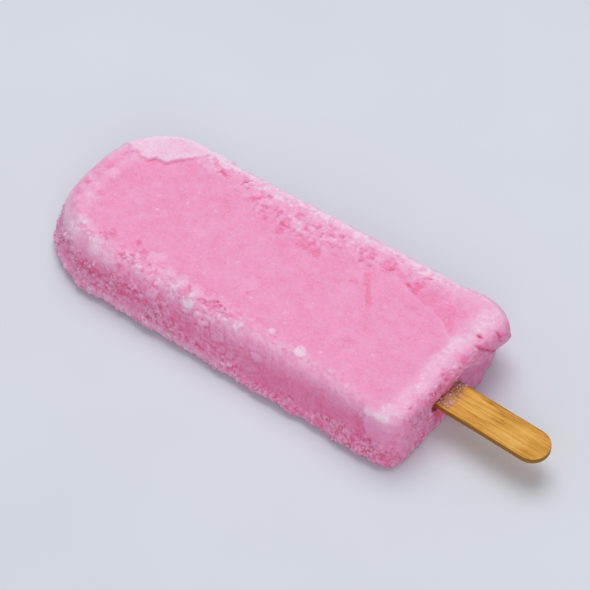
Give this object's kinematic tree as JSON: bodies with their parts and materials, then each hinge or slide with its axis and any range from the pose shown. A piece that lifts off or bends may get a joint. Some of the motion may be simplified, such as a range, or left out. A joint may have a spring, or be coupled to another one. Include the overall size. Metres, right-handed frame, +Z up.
{
  "type": "ice lolly",
  "caption": "Flat bar of pink frosted ice with a rounded tip, lying down, frozen onto a flat wooden stick with rounded ends.",
  "frame": {"origin": "centre of the underside of the whole lolly's box, on the surface that it lies on", "axes": "+X along the lolly towards the bare end of the stick, +Y across it, +Z up out of the side that faces the viewer"},
  "size_m": [0.1566, 0.0568, 0.0186],
  "materials": {
    "pink_ice": "cloudy pink water ice, smooth and slightly damp on the panel, with pale granular frost on the rim and the sides",
    "stick_wood": "plain golden brown wood with fine grain along the stick, darker along its cut edges"
  },
  "bodies": {
    "root": {"ice_body": "pink_ice", "stick": "stick_wood"}
  },
  "joints": []
}
